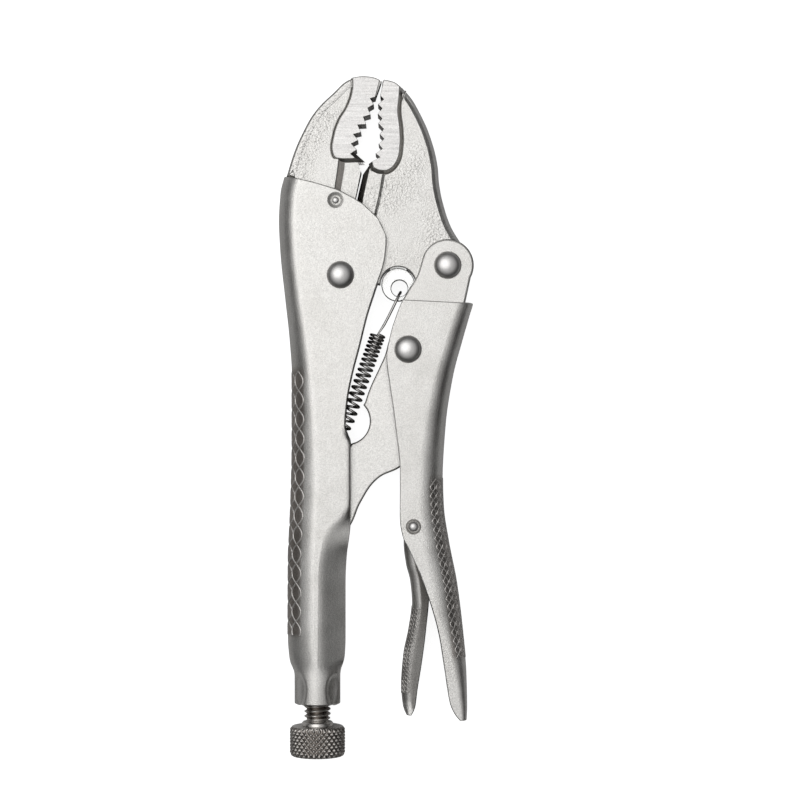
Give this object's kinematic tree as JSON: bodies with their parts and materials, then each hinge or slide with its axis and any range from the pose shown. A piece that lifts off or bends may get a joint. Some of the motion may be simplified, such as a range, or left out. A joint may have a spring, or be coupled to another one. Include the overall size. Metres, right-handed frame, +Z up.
{
  "type": "locking pliers",
  "caption": "Locking pliers with curved toothed jaws and a wire cutter, sheet channel handles, toggle link, release lever, return spring and a knurled adjusting screw.",
  "frame": {"origin": "on the surface the tool lies on, under the middle of its footprint", "axes": "+Y along the tool towards the jaws, +Z up through its thickness, +X from the fixed handle towards the lever"},
  "size_m": [0.071, 0.2482, 0.0227],
  "materials": {
    "handle_nickel": "satin nickel plate over blasted steel",
    "jaw_nickel": "satin nickel plate over a forged, faintly pitted surface; ground on the toothed faces",
    "rivet_steel": "smooth satin nickel",
    "screw_steel": "darker satin nickel, dark in the thread and the knurl",
    "spring_steel": "dark drawn spring wire"
  },
  "bodies": {
    "frame": {"fixed_handle": "handle_nickel", "fixed_jaw": "jaw_nickel", "jaw_stake_pin": "rivet_steel", "jaw_pivot_rivet": "rivet_steel", "threaded_insert": "screw_steel", "return_spring": "spring_steel"},
    "jaw": {"movable_jaw": "jaw_nickel", "lever_pivot_rivet": "rivet_steel"},
    "lever": {"lever_handle": "handle_nickel", "link_pivot_rivet": "rivet_steel", "release_pivot_rivet": "rivet_steel"},
    "link": {"toggle_link": "handle_nickel"},
    "release": {"release_lever": "handle_nickel"},
    "screw": {"adjusting_screw": "screw_steel"},
    "knob": {"knurled_knob": "screw_steel"}
  },
  "joints": [
    {"name": "jaw_hinge", "type": "hinge", "parent": "frame", "child": "jaw", "pos_m": [-0.01285, 0.05149, 0.0102], "axis": [0, 0, -1], "range_deg": [0, 20], "deforming": ["return_spring"]},
    {"name": "lever_hinge", "type": "hinge", "parent": "jaw", "child": "lever", "pos_m": [0.02605, 0.055, 0.0102], "axis": [0, 0, 1], "range_deg": [0, 62]},
    {"name": "link_hinge", "type": "hinge", "parent": "lever", "child": "link", "pos_m": [0.01165, 0.02449, 0.0102], "axis": [0, 0, -1], "range_deg": [0, 64]},
    {"name": "release_hinge", "type": "hinge", "parent": "lever", "child": "release", "pos_m": [0.01365, -0.03981, 0.0102], "axis": [0, 0, 1], "range_deg": [0, 10]},
    {"name": "screw_travel", "type": "slide", "parent": "frame", "child": "screw", "axis": [0, -1, 0], "range_m": [0, 0.0105]},
    {"name": "knob_turn", "type": "hinge", "parent": "screw", "child": "knob", "pos_m": [-0.02145, -0.113, 0.0102], "axis": [0, -1, 0], "range_deg": [0, 2160]}
  ],
  "couplings": [
    {"joint": "lever_hinge", "follows": "jaw_hinge", "ratio": 3.1},
    {"joint": "link_hinge", "follows": "jaw_hinge", "ratio": 3.2},
    {"joint": "knob_turn", "follows": "screw_travel", "rad_per_m": 3590.4}
  ]
}
